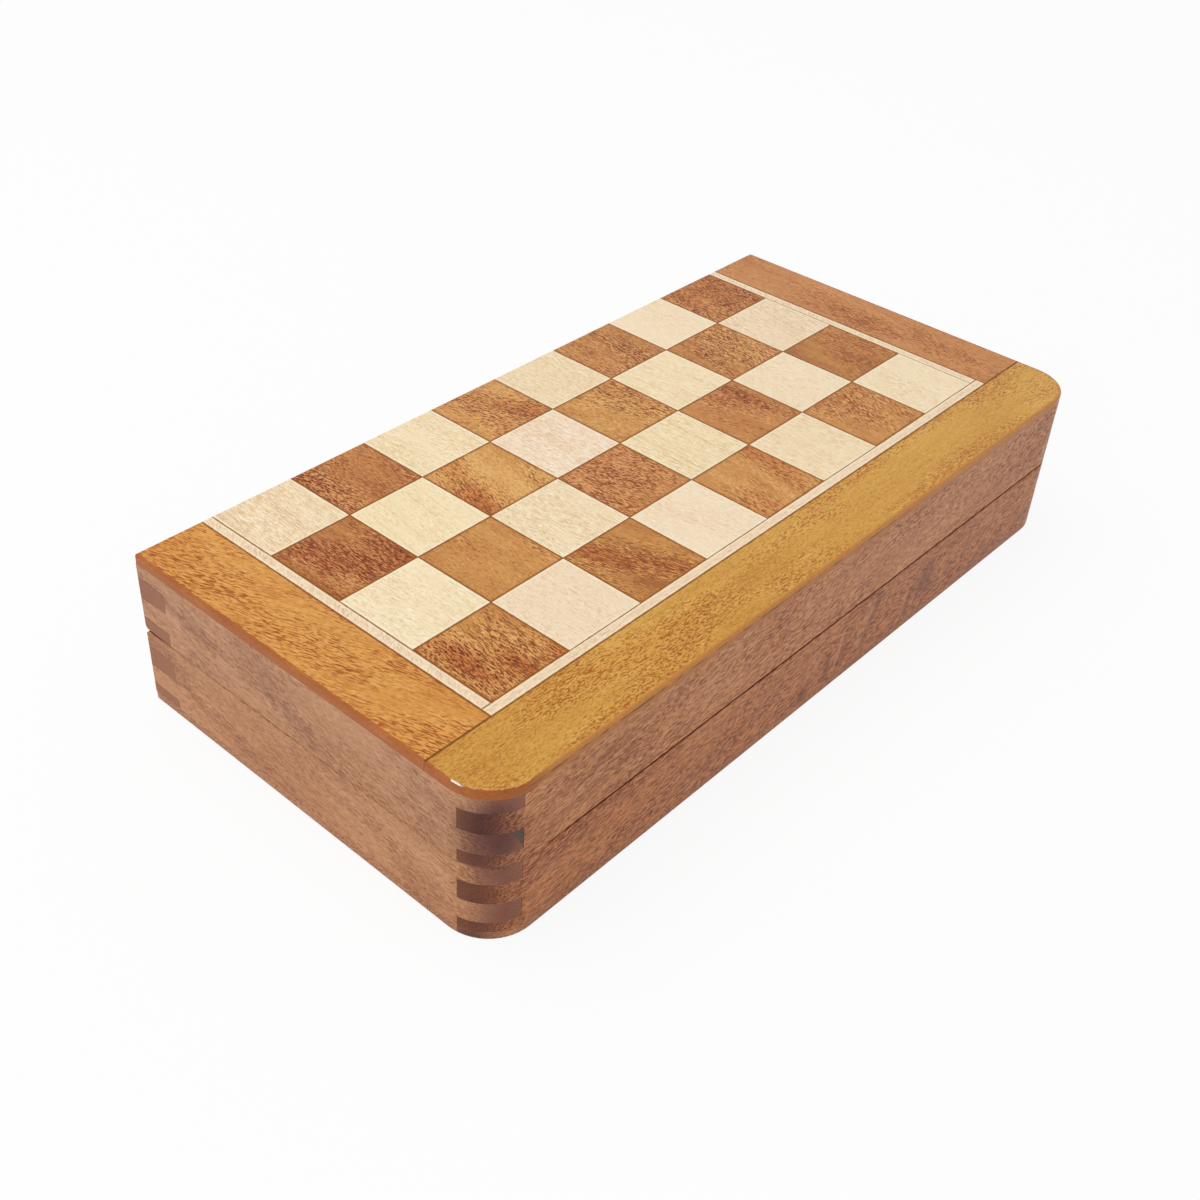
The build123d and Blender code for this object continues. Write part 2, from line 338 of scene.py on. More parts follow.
def growthColour(mat, look):
    # bands of growth, soft patches, fine fibres and the short rays across them, with painted light and
    # shade on the fibres
    dice = mat.dice
    mat.band = mat.noise(mat.grain, look["bandScale"], 3.0, 0.6)
    mat.patch = mat.noise(mat.grain, look["patchScale"], 2.0, 0.6)
    mat.fibre = mat.noise(mat.grain, look["fibreScale"], 2.0, 0.6)
    mat.ray = mat.noise(mat.grain, look["rayScale"], 2.0, 0.6)
    zone = mat.noise(mat.grain, look["stainScale"])
    stain = mat.step(zone, *look["stainZone"])
    calm = 1.0 - look["zoneRelief"] / 2
    mat.lively = mat.timesPlus(mat.step(zone, *look["livelyZone"]), look["zoneRelief"], calm)
    if dice:  # some squares are calm and others are full of figure
        stain = mat.times(stain, mat.timesPlus(dice[3], *plank["squareStain"]))
        calm = 1.0 - look["tileFigure"] / 2
        mat.lively = mat.times(mat.lively, mat.timesPlus(dice[5], look["tileFigure"], calm))
    # painted light and shade: each fibre lighter on one side and darker on the other
    detail = mat.add(mat.times(mat.rise, look["reliefShare"]), mat.fibre, look["fibreShare"])
    level = mat.timesPlus(detail, mat.lively, 0.5)
    for kind in ("band", "patch", "ray"):
        level = mat.add(level, getattr(mat, kind), look[kind + "Share"])
    if dice:
        level = mat.add(level, dice[0], look["tileShift"])
    colour = mat.ramp(level, look["tones"])
    colour = mat.lay(colour, look["stainTone"], stain, look["stainShare"], "MULTIPLY")
    if dice:
        colour = mat.mix(1.0, colour, mat.mix(dice[1], *look["tints"]), "MULTIPLY")
    if look["lineShare"]:  # a few thin lines of late growth, straight with the grain
        lines = mat.step(mat.noise(mat.grain, look["lineScale"], 1.0), *look["lineZone"])
        share = mat.times(lines, look["lineShare"])
        if dice:
            share = mat.times(share, dice[4])
        colour = mat.mix(share, colour, look["lineTone"], "MULTIPLY")
    return colour


def dashMarks(mat, look, colour):
    # short dark dashes with the grain, each with a raised pale rim that carries a painted highlight, in
    # loose clusters
    cluster = mat.noise(mat.grain, look["clusterScale"], 1.0)
    dashes = mat.add(mat.height, cluster, look["clusterShare"])
    if mat.dice:
        dashes = mat.add(dashes, mat.dice[1], look["tileDashes"])
    start = look["dashFrom"]
    mat.dark = mat.step(dashes, start, look["dashTo"])
    outer, inner = ((start + first, start + last) for first, last in look["rimLimits"])
    mat.rim = mat.times(mat.step(dashes, *outer), mat.step(dashes, *inner))
    share = mat.times(mat.times(mat.dark, look["dashShare"]), mat.lively, clamp=True)
    colour = mat.mix(share, colour, look["dashTone"], "MULTIPLY")
    # the painted highlight on the rim of each dash
    colour = mat.lay(colour, look["paleTone"], mat.rim, look["paleShare"], "SCREEN")

    # open pores: slim drops, long with the grain and dots across it
    size = mat.add(look["poreSize"], cluster, look["poreSpread"])
    mat.pores = mat.drops(mat.loose, look["poreScale"], size, look["poreSoft"], look["poreLimit"])
    return mat.lay(colour, look["poreTone"], mat.pores, look["poreDark"], "MULTIPLY")


def cutEnds(mat, look, colour):
    # the cut ends drink in more of the oil
    axis = (1, 0, 0) if look["grain"] == "X" else (0, 1, 0)
    ending = mat.step(mat.facing(axis), look["endFrom"], look["endTo"])
    speckle = mat.timesPlus(mat.noise(mat.grain, look["endScale"]), *look["endSpeckle"])
    share = mat.times(mat.times(ending, speckle), look["endShare"], clamp=True)
    plain = mat.lay(colour, look["tones"][1][1], ending, look["endPlain"])
    return mat.mix(share, plain, look["endTone"], "MULTIPLY")


def heightTones(mat, look, colour):
    # colour that turns slowly with height, greyer towards the top: a painted reflection of the bright room
    # in the satin finish
    wander = mat.times(mat.minus(mat.patch, 0.5), look["highWander"])
    height = mat.maths("ADD", mat.z, wander)
    high = mat.step(height, look["lowAt"], look["highAt"])
    return mat.mix(1.0, colour, mat.mix(high, look["lowTone"], look["highTone"]), "MULTIPLY")


def frontStrip(mat, look, depth):
    # the strip along the front, which fades into the wall and has a row of dark nicks
    level = mat.add(0.5, mat.maths("DIVIDE", depth, board["faceThickness"]), look["stripDepthShare"])
    for figure in (mat.fibre, mat.patch):
        level = mat.add(level, figure, look["stripFigure"])
    # painted light and shade on the fibres of the strip
    lift = mat.times(mat.rise, look["frontStripRelief"])
    faded = mat.ramp(mat.maths("ADD", level, lift), look["frontStripTones"])
    torn = mat.step(mat.noise(mat.place, stripShape["nickScale"]), *stripShape["nickZone"])
    fromRow = mat.maths("ABSOLUTE", mat.minus(depth, stripShape["nickDepth"]))
    nicked = mat.times(mat.step(fromRow, *stripShape["nickReach"]), torn)
    nicked = mat.times(nicked, look["nickShare"])
    along = mat.step(mat.x, *stripShape["nickEnd"])
    return mat.lay(faded, look["nickTone"], nicked, along)


def easedEdge(mat, look, colour):
    # the eased outer edge of the playing face: a stained strip of ragged width
    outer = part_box("lid_front_border")[1].z
    torn = mat.minus(mat.noise(mat.place, stripShape["raggedScale"], 3.0, 0.7), 0.5)
    ragged = mat.timesPlus(torn, look["stripRagged"], outlineInset(mat))
    corner = zoneShare(mat, stripShape["corner"])
    ragged = mat.timesPlus(corner, look["cornerNarrow"], ragged)  # the strip is narrow at the near corner
    side = mat.step(mat.z, *(outer - depth for depth in stripShape["sideTop"]))
    ragged = mat.minus(ragged, mat.times(side, stripShape["sideReach"]))
    width = look["stripWidth"]
    strip = mat.step(ragged, *(width * share for share in stripShape["outerSoft"]))
    # painted light and shade on the fibres of the strip
    lift = mat.times(mat.rise, look["stripRelief"])
    worn = mat.ramp(mat.maths("ADD", mat.add(0.5, mat.band, look["stripBand"]), lift), look["stripTones"])
    fromMiddle = mat.maths("ABSOLUTE", mat.minus(mat.z, outer / 2))
    depth = mat.minus(fromMiddle, outer / 2 - board["faceThickness"])
    front = zoneShare(mat, stripShape["front"])
    worn = mat.mix(front, worn, frontStrip(mat, look, depth))
    # painted highlight: a thin pale line just inside the strip at the near corner
    rubbed = mat.step(ragged, *(width + reach for reach in stripShape["rubbed"]))
    colour = mat.lay(colour, look["cornerPale"], rubbed, corner)
    if "cornerEndTone" in look:  # the tone of the front wall's end runs on down to the ground
        end = mat.step(mat.y, *stripShape["wallEnd"])
        sideways = mat.step(mat.facing((1, 0, 0)), *stripShape["sideways"])
        worn = mat.lay(worn, look["cornerEndTone"], sideways, end, "MULTIPLY")
    return mat.mix(strip, colour, worn)


def jointLine(mat, look, inset, colour):
    # glue and finish gathered along the joints of the playing face
    width = mat.timesPlus(mat.noise(mat.place, jointShape["scale"], 1.0), *jointShape["uneven"])
    width = mat.times(width, look["edgeWidth"])
    line = mat.step(inset, *(mat.times(width, share) for share in jointShape["soft"]))
    line = mat.times(line, mat.step(mat.facing((0, 0, 1)), *jointShape["upward"]))
    if "hemTone" in look:  # the wood next to the line
        hem = mat.step(inset, look["hemWidth"], look["hemWidth"] * jointShape["hemSoft"])
        colour = mat.lay(colour, look["hemTone"], hem, look["hemShare"])
    return mat.lay(colour, look["edgeTone"], line, look["edgeShare"])


def seamFront(mat):
    # the share of the painted shade in the seam: full along the front, and none at the near corner and on
    # the left
    start = mat.step(mat.x, *seamShape["start"])
    left = mat.step(mat.x, *seamShape["left"])
    back = mat.step(mat.y, *seamShape["back"])
    return mat.maths("MAXIMUM", mat.minus(start, left, clamp=True), back)


def rimShade(mat, look, inset, colour):
    # painted shade along the outer edge of the rim, in the gap where the two halves meet, full along the
    # front; on the left and at the near corner, painted light there lifts the gap's own shadow instead
    flat = mat.step(mat.facing((0, 0, 1)), *seamShape["upward"])
    outer = mat.times(flat, mat.step(inset, look["rimReach"], look["rimReach"] / 2))
    front = seamFront(mat)
    colour = mat.lay(colour, look["rimTone"], outer, front)
    pale = mat.times(outer, mat.minus(1.0, front))
    return mat.lay(colour, look["rimPaleTone"], pale, look["rimPaleShare"])


def seamLine(mat, look, inset, colour):
    # painted shade: a dark line where the two halves meet; it is thin, and faint towards the near corner
    pinLow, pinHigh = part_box("left_hinge_pin")
    middle = (pinLow.z + pinHigh.z) / 2
    away = mat.maths("ABSOLUTE", mat.minus(mat.z, middle))
    line = mat.times(mat.step(away, *seamShape["width"]), mat.step(inset, *seamShape["inset"]))
    return mat.lay(colour, look["seamTone"], line, mat.times(seamFront(mat), look["seamShare"]))


def wood(name, look, edgeOf=None, wall=False):
    mat = Material(name)
    plankPlace(mat, look)
    brushedRelief(mat, look)
    colour = dashMarks(mat, look, growthColour(mat, look))
    if "endTone" in look:
        colour = cutEnds(mat, look, colour)
    if "highTone" in look:
        colour = heightTones(mat, look, colour)
    if "stripTones" in look:
        colour = easedEdge(mat, look, colour)
    inset = sideInset(mat, edgeOf) if edgeOf else mat.inset
    if inset is not None:
        colour = jointLine(mat, look, inset, colour)
    # painted shade in the seam between the two halves, with painted light beside it on the left
    if wall:
        outline = outlineInset(mat)
        colour = rimShade(mat, look, outline, colour)
        colour = seamLine(mat, look, outline, colour)
    for mark in look["marks"]:  # single marks: a chip, a speck and ply layers, and painted shade, a painted glint and painted sheen
        colour = mark(mat, colour)

    rough = mat.timesPlus(mat.pores, 0.15, look["roughness"])
    rough = mat.add(rough, mat.band, look["roughSpread"])
    sunk = mat.maths("MAXIMUM", mat.pores, mat.dark)
    height = mat.minus(mat.times(mat.rim, 0.4), sunk)
    relief = mat.bump(height, look["poreDepth"])
    fine = mat.maths("ADD", mat.fibre, mat.times(mat.ray, 0.5))
    relief = mat.bump(fine, look["fibreDepth"], relief)
    return mat.surface({
        "Base Color": colour, "Roughness": rough, "Normal": relief, "Specular IOR Level": look["shine"],
        "Coat Weight": look["coat"], "Coat Roughness": look["coatRoughness"],
    })


plainWood = {
    "tiles": False, "grain": "X", "slope": 0, "slopeAxis": "Z_AXIS", "marks": (),
    "swayScale": (25, 60, 60), "sway": 1.2 * mm,
    "bandScale": (14, 240, 240), "bandShare": 0.6,
    "patchScale": (22, 50, 50), "patchShare": 0.6,
    "fibreScale": (500, 2400, 2400), "fibreShare": 1.2,
    "rayScale": (900, 900, 250), "rayShare": 0,
    "lineScale": (12, 900, 900), "lineShare": 0, "lineZone": (0.60, 0.68), "lineTone": (220, 190, 150),
    "stainScale": (30, 90, 90), "stainShare": 0.5, "stainTone": (240, 218, 200),
    "stainZone": (0.46, 0.68), "livelyZone": (0.40, 0.60),
    "clusterScale": (35, 110, 110), "clusterShare": 0.25,
    "dashDriftScale": 300, "dashDrift": 0.5 * mm,
    # the step and strength of the painted light and shade on the fibres
    "reliefStep": lengths(0.12, 0.20, 0.20), "reliefShare": 1.5, "zoneRelief": 0.6,
    "dashScale": (600, 2300, 2300), "dashFrom": 0.53, "dashTo": 0.66,
    "dashShare": 0.95, "dashTone": (200, 160, 115), "paleShare": 0.7, "paleTone": (70, 56, 36),
    "rimLimits": ((-0.14, -0.05), (0.04, -0.02)),  # outer and inner limits of the raised rim of a dash, which carries its painted highlight
    "poreScale": (500, 2400, 2400), "poreSize": 0.25, "poreSpread": 0.3,
    "poreLimit": 0.5, "poreSoft": 0.45, "poreDark": 0.7, "poreTone": (175, 130, 80),
    "poreDepth": 0.06 * mm, "fibreDepth": 0.06 * mm,
    "edgeWidth": 0.26 * mm, "edgeShare": 0.8, "edgeTone": (120, 62, 10),
    "roughness": 0.40, "roughSpread": 0.12, "coat": 0.10, "coatRoughness": 0.22, "shine": 0.10,
}

wallLook = vary(
    plainWood, slope=8, slopeAxis="Y_AXIS",
    tones=tones((160, 104, 66), (190, 134, 92), (210, 156, 114)),
    dashScale=(480, 2000, 2000), dashTone=(196, 160, 124), dashShare=0.4, fibreShare=0.9,
    bandShare=0.7, reliefShare=1.6, poreDark=0.4,
    endTone=(135, 121, 153), endFrom=0.45, endTo=0.9, endShare=0.8, endScale=(60, 200, 200),
    endSpeckle=(0.3, 0.85), endPlain=0.85,
    lowAt=4 * mm, highAt=44 * mm, highWander=24 * mm,
    # the painted reflection that greys the walls towards the top
    lowTone=(255, 238, 224), highTone=(250, 240, 240),
    # painted shade and painted light at the rim, in the gap between the halves
    rimReach=0.9 * mm, rimTone=(88, 18, 8), rimPaleTone=(250, 226, 200), rimPaleShare=0.7,
    seamShare=0.95, seamTone=(88, 16, 4),
)

borderLook = vary(
    plainWood, tones=tones((188, 118, 40), (216, 153, 68), (232, 176, 92)),
    dashTone=(206, 160, 84), dashShare=0.5, zoneRelief=1.1,
    stainTone=(240, 214, 176), stainScale=(22, 75, 75), edgeTone=(112, 54, 10),
    stripWidth=0.85 * mm, stripRagged=1.3 * mm, stripRelief=0.4, stripDepthShare=1.0,
    stripFigure=0.5, stripBand=1.4,
    frontStripRelief=1.2, nickShare=0.9, nickTone=(112, 52, 30),
    cornerNarrow=0.5 * mm, cornerPale=(226, 166, 108),
    stripTones=tones((162, 87, 32), (174, 98, 41), (189, 112, 54), 0.1),
    frontStripTones=[(0.08, (192, 124, 66)), (0.5, (196, 124, 56)), (0.84, (214, 144, 66)),
                     (1.0, (200, 135, 66))],
    coat=0.15, coatRoughness=0.16,
)

darkLook = vary(
    plainWood, grain="Y", tiles=True, tileTurn=0.6, tileShift=0.35, tileDashes=0.14, tileFigure=1.3,
    tones=tones((158, 92, 44), (207, 145, 82), (234, 182, 118), 0.12),
    bandScale=(18, 200, 200), bandShare=0.4, patchScale=(45, 120, 120), fibreShare=1.6,
    dashScale=(700, 2300, 2300), dashTone=(196, 152, 104), dashShare=0.55,
    reliefShare=2, zoneRelief=1.4, poreDark=0.5,
    stainTone=(222, 178, 150), stainShare=0.8, stainScale=(20, 55, 55),
    edgeWidth=0.34 * mm, edgeTone=(144, 76, 0), edgeShare=0.85,
    hemWidth=1.2 * mm, hemShare=0.35, hemTone=(176, 108, 52),
    tints=((255, 255, 236), (248, 232, 232)),
)

lightLook = vary(
    plainWood, grain="Y", tiles=True, tileTurn=0.3, tileShift=0.3, tileDashes=0.05, tileFigure=0.5,
    tones=tones((234, 208, 168), (252, 232, 199), (255, 249, 224), 0.1),
    tints=((255, 254, 242), (255, 249, 252)),
    bandScale=(14, 420, 420), bandShare=0.2, patchShare=0.15, fibreShare=0.85, reliefShare=0.9,
    fibreScale=(320, 1900, 1900), rayScale=(1900, 600, 600), rayShare=0.4, lineShare=0.2,
    dashScale=(600, 2100, 2100), dashTone=(240, 224, 194), dashShare=0.2, paleShare=0.1,
    poreScale=(700, 2600, 2600), poreSize=0.2, poreTone=(226, 206, 176), poreDark=0.6,
    stainTone=(250, 240, 232), stainShare=0.25, poreDepth=0.05 * mm, fibreDepth=0.08 * mm,
    edgeWidth=0.17 * mm, edgeTone=(178, 110, 4), edgeShare=0.95,
    hemWidth=1.1 * mm, hemShare=0.45, hemTone=(255, 247, 220),
    roughness=0.45, coat=0.08,
)

flaws = {
    "cloudScale": 160,
    "shades": (  # centre, reach and tone of each painted shade
        (lengths(-122.5, -60, 12), lengths(10, 10, 60), (214, 210, 230)),
        (lengths(-124.4, -59.2, 35), lengths(11, 11, 16), (182, 166, 184)),
    ),
    "chip": ((-120.0, 34.4), (-116.7, 35.2), (-117.0, 28.2)), "chipTone": (98, 76, 68),
    "chipDepth": lengths(-59.8, -60.6), "chipSoft": lengths(-0.1, 0.35),
    # pale streaks of figure whose brightness is a painted sheen, with painted shade beside each
    "streaks": (((7.3, 5.5), (9.7, 16.6)), ((16.7, 7.2), (21.8, 20.8)), ((18.6, 7.0), (24.0, 20.6)),
                ((40.1, 4.5), (42.7, 13.0))),
    "streakScale": 400, "streakZone": (0.32, 0.64),
    "streakWidth": 1.6 * mm, "streakTone": (216, 152, 104), "streakShare": 0.7,
    "streakShade": 2.2 * mm, "streakShadeShare": 0.4,
    "bands": (((3.2, 8.5), (2.6, 8.0)), ((-8.0, 4.5), (5.0, 5.5)), ((52.0, 14.0), (8.0, 9.0))),
    "bandTone": (190, 182, 190), "bandShare": 0.8,
    # a painted highlight along the near outer edge
    "nick": (lengths(-127.4, -50.7, 47.9), lengths(-127.1, -54.4, 47.9)),
    "nickWidth": 0.3 * mm, "nickTone": (255, 250, 240),
    "speck": lengths(-92.2, 54.9, 48), "speckReach": lengths(0.8, 0.8, 0.8),
    "speckTone": (236, 200, 90),
}


def cornerShade(mat, colour):
    # painted shade: a veil of shade down the rounded corner, and high up in it a soft grey cloud, a painted
    # dark reflection
    cloudy = mat.timesPlus(mat.noise(mat.place, flaws["cloudScale"]), 0.9, 0.55)
    for centre, reach, shade in flaws["shades"]:
        share = mat.times(mat.spot(centre, reach), cloudy, clamp=True)
        colour = mat.mix(share, colour, shade, "MULTIPLY")
    return colour


def cornerChip(mat, colour):
    # a small three-sided chip filled with grey
    corners = [Vector((x * mm, 0, z * mm)) for x, z in flaws["chip"]]
    share = mat.step(mat.y, *flaws["chipDepth"])
    for index, corner in enumerate(corners):
        edge = corners[(index + 1) % 3] - corner
        inward = Vector((edge.z, 0, -edge.x)).normalized()
        offset = mat.vector("SUBTRACT", mat.place, tuple(corner))
        inside = mat.step(mat.vector("DOT_PRODUCT", offset, tuple(inward)), *flaws["chipSoft"])
        share = mat.times(share, inside)
    return mat.mix(share, colour, flaws["chipTone"])


def liftedStreaks(mat, colour):
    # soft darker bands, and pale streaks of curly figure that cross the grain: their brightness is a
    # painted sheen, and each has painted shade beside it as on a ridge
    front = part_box("base_front_wall")[0].y
    for (x, z), (wide, high) in flaws["bands"]:
        share = mat.spot((x * mm, front, z * mm), lengths(wide, 5, high))
        colour = mat.lay(colour, flaws["bandTone"], share, flaws["bandShare"], "MULTIPLY")
    broken = mat.step(mat.noise(mat.place, flaws["streakScale"]), *flaws["streakZone"])
    beside = Vector((flaws["streakShade"], 0, 0))
    for ends in flaws["streaks"]:
        start, end = (Vector((x * mm, front, z * mm)) for x, z in ends)
        # painted shade beside the streak
        shade = mat.stroke(start + beside, end + beside, 2 * flaws["streakWidth"])
        colour = mat.lay(colour, flaws["bandTone"], shade, flaws["streakShadeShare"], "MULTIPLY")
        share = mat.times(mat.stroke(start, end, flaws["streakWidth"]), broken)
        colour = mat.lay(colour, flaws["streakTone"], share, flaws["streakShare"])
    return colour


def edgeNick(mat, colour):
    # a painted highlight: a thin white glint along the outer edge, as of a lamp on the finish
    return mat.mix(mat.stroke(*flaws["nick"], flaws["nickWidth"]), colour, flaws["nickTone"])


def yellowSpeck(mat, colour):
    return mat.mix(mat.spot(flaws["speck"], flaws["speckReach"]), colour, flaws["speckTone"])


sideWall = {"grain": "Y", "slopeAxis": "X_AXIS", "endShare": 0.5}
# the left walls in lighter, cooler tones than the front ones: painted light, as from a window on the left
leftWall = vary(
    sideWall, tones=tones((170, 120, 82), (195, 147, 107), (212, 166, 126)),
    dashShare=0.22, reliefShare=1.2, stainShare=0.7,
)
wallChanges = {
    "lid_front": {
        "tones": tones((158, 99, 59), (199, 137, 89), (226, 168, 118)), "reliefShare": 2,
        "marks": (cornerShade,),
    },
    "lid_left": vary(
        leftWall, slope=-9, stainTone=(214, 206, 206), endTone=(166, 110, 156),
        marks=(cornerShade, cornerChip),
    ),
    "lid_back": {"endShare": 0.4},
    "lid_right": vary(sideWall, slope=6),
    "base_front": {
        "tones": tones((148, 85, 46), (188, 124, 77), (217, 154, 104)), "reliefShare": 2.5,
        "marks": (cornerShade, liftedStreaks),
    },
    "base_left": vary(
        leftWall, slope=-6, stainTone=(222, 206, 200), endTone=(170, 114, 150),
        marks=(cornerShade,),
    ),
    "base_back": {"endShare": 0.4},
    "base_right": vary(sideWall, slope=5),
}

for index, (wall, changes) in enumerate(wallChanges.items()):
    look = vary(wallLook, seed=2 + 3.1 * index, **changes)
    give(wood(wall + "WallWood", look, wall=True), wall + "_wall")
print("walls finished")

borderChanges = {
    "front": {
        "dashScale": (900, 1900, 1900), "poreScale": (900, 1900, 1900), "dashDrift": 1 * mm,
        "tones": tones((188, 122, 44), (212, 155, 66), (226, 176, 90)),
        "dashTone": (216, 178, 96), "dashShare": 0.4, "poreDark": 0.4,
    },
    "left": {
        "grain": "Y", "slope": -17, "dashScale": (420, 2000, 2000), "dashTone": (206, 166, 92),
        "tones": tones((186, 110, 40), (216, 146, 66), (232, 172, 90)),
    },
    "right": {
        "grain": "Y", "slope": 4, "tones": tones((172, 102, 48), (200, 132, 74), (214, 152, 92)),
    },
}

slantedStringing = {"slope": 42, "fibreScale": (500, 1700, 1700), "fibreShare": 1.6}
stringingTones = tones((233, 200, 161), (247, 220, 185), (253, 234, 205))
stringingChanges = {
    "front": {"grain": "X"},
    "left": vary(slantedStringing, dashTone=(222, 194, 150)),
    "right": vary(slantedStringing, dashTone=(240, 224, 204)),
}

groundStrip = {
    "cornerEndTone": (176, 164, 178), "stripRelief": 1.6, "frontStripRelief": 1.6,
    "stripDepthShare": 0, "nickShare": 0,
    "stripTones": tones((152, 96, 60), (178, 121, 82), (197, 142, 99)),
    "frontStripTones": tones((146, 81, 41), (178, 109, 62), (204, 136, 85)),
}

for index, half in enumerate(halves):
    seed = index * 5.3
    for side, changes in borderChanges.items():
        node = f"{half}_{side}_border"
        look = vary(borderLook, seed=12 + seed + len(side), **changes)
        if half == "base":
            look = vary(look, **groundStrip)
        elif side != "right":
            # a painted glint on the near edges of the lid
            look = vary(look, marks=(edgeNick,))
        give(wood(f"{half}_{side}BorderWood", look, node), node)
    for side, changes in stringingChanges.items():
        node = f"{half}_{side}_stringing"
        look = vary(lightLook, seed=36 + seed + len(side), tiles=False, tones=stringingTones, **changes)
        give(wood(f"{half}_{side}StringingWood", look, node), node)
    speck = (yellowSpeck,) if half == "lid" else ()
    dark = wood(half + "_darkSquareWood", vary(darkLook, seed=22 + seed))
    light = wood(half + "_lightSquareWood", vary(lightLook, seed=32 + seed, marks=speck))
    for row in range(1, 5):
        give(dark, f"{half}_row{row}_dark_squares")
        give(light, f"{half}_row{row}_light_squares")
print("playing faces finished")

glueLines = {
    "width": 0.14 * mm,  # a little over the joint, so that it reaches under both edges
    "sink": 0.015 * mm,
    "depth": 2.9 * mm,
    "endGap": 2 * mm,
    "backGap": 1 * mm,
    "tones": [(0.3, (124, 60, 0)), (0.7, (164, 98, 6))],
    "toneScale": 500, "reliefScale": 3000, "relief": 0.01 * mm,
}


def glueLineMesh(half):
    # straight strips of glue in every joint of the playing face
    def low(name):
        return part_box(f"{half}_{name}")[0]

    def high(name):
        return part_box(f"{half}_{name}")[1]

    margin = glueLines["width"] / 2
    outside, inward = (high("front_border").z, -1) if half == "lid" else (low("front_border").z, 1)
    levels = sorted(outside + inward * glueLines[key] for key in ("sink", "depth"))
    squares = [f"row{row}_dark_squares" for row in range(1, 5)]
    rows = [(low(near).y + high(far).y) / 2 for near, far in zip(squares, squares[1:])]
    rows.append((high("front_stringing").y + low(squares[-1]).y) / 2)
    files = [board["fieldLeft"] + line * board["squareSize"] for line in range(9)]
    outerFront = (low("front_stringing").y + high("front_border").y) / 2
    stops = [high(squares[0]).y - glueLines["backGap"], *rows]
    strips = [((files[0], y - margin), (files[-1], y + margin)) for y in rows]
    strips.append(((low("front_border").x + glueLines["endGap"], outerFront - margin),
                   (high("front_border").x - glueLines["endGap"], outerFront + margin)))
    for x in files:
        for back, front in zip(stops, stops[1:]):
            strips.append(((x - margin, front + margin), (x + margin, back - margin)))
    for x in ((high("left_border").x + low("left_stringing").x) / 2,
              (high("right_stringing").x + low("right_border").x) / 2):
        strips.append(((x - margin, outerFront + margin), (x + margin, stops[0] - margin)))
    mesh = bmesh.new()
    for start, end in strips:
        for vertex in bmesh.ops.create_cube(mesh, size=1.0)["verts"]:
            vertex.co.x = (start if vertex.co.x < 0 else end)[0]
            vertex.co.y = (start if vertex.co.y < 0 else end)[1]
            vertex.co.z = levels[0] if vertex.co.z < 0 else levels[1]
    return mesh


def addObject(name, data):
    made = bpy.data.objects.new(name, data)
    bpy.context.scene.collection.objects.link(made)
    return made


def addPiece(name, mesh, material, body, smooth=True):
    data = bpy.data.meshes.new(name)
    bmesh.ops.recalc_face_normals(mesh, faces=mesh.faces)
    for edge in mesh.edges:
        edge.smooth = not edge.is_manifold or edge.calc_face_angle() < math.radians(50)
    mesh.to_mesh(data)
    mesh.free()
    data.materials.append(material)
    for face in data.polygons:
        face.use_smooth = smooth
    piece = addObject(name, data)
    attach(piece, body)
    return piece


def hideGlue():
    mat = Material("hideGlue")
    colour = mat.ramp(mat.noise(mat.place, glueLines["toneScale"]), glueLines["tones"])
    relief = mat.bump(mat.noise(mat.place, glueLines["reliefScale"], 1.0), glueLines["relief"])
    return mat.surface({"Base Color": colour, "Roughness": 0.6, "Normal": relief, "Specular IOR Level": 0})


glueMaterial = hideGlue()
for half in halves:
    glue = addPiece(half + "_glue_lines", glueLineMesh(half), glueMaterial, half, smooth=False)
print("glue lines finished")

panelSheet = {
    "veneer": 1.0 * mm, "endGrain": (176, 150, 128), "upright": (0.7, 0.3), "middle": (0.46, 0.54),
}


def plyLayers(mat, colour):
    # three thin veneers; the middle one is laid across and shows its darker end grain
    layer = mat.maths("FRACT", mat.maths("DIVIDE", mat.z, 2 * panelSheet["veneer"]))
    upright = mat.step(mat.facing((0, 0, 1)), *panelSheet["upright"])
    across = mat.step(layer, *panelSheet["middle"])
    return mat.lay(colour, panelSheet["endGrain"], across, upright, "MULTIPLY")


panelLook = vary(
    plainWood, seed=50, marks=(plyLayers,), tones=tones((146, 92, 44), (168, 112, 58), (186, 132, 76)),
)
give(wood("panelPlywood", panelLook), "base_panel", "lid_panel")

hardware = {
    "hingeSpacing": 150 * mm,
    "screwSpacing": 16 * mm,
    "screwSetback": 5.4 * mm,  # from the pin to the row of screws
    "magnetSpacing": 120 * mm,
    "turnedLines": 5000,  # lathe lines to the metre
}


def turnedAbout(mat, folds, name, setback=0):
    # the distance from the nearest of several round things that lie in one row along X
    low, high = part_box(name)
    along = mat.x
    for spacing in folds:
        along = mat.minus(mat.maths("ABSOLUTE", along), spacing / 2)
    aside = mat.minus(mat.y, (low.y + high.y) / 2 - setback)
    return mat.vector("LENGTH", mat.joined(along, aside))


def screwRings(mat):
    spacings = hardware["hingeSpacing"], hardware["screwSpacing"]
    return turnedAbout(mat, spacings, "left_hinge_pin", hardware["screwSetback"])


def magnetRings(mat):
    return turnedAbout(mat, (hardware["magnetSpacing"],), "base_magnets")


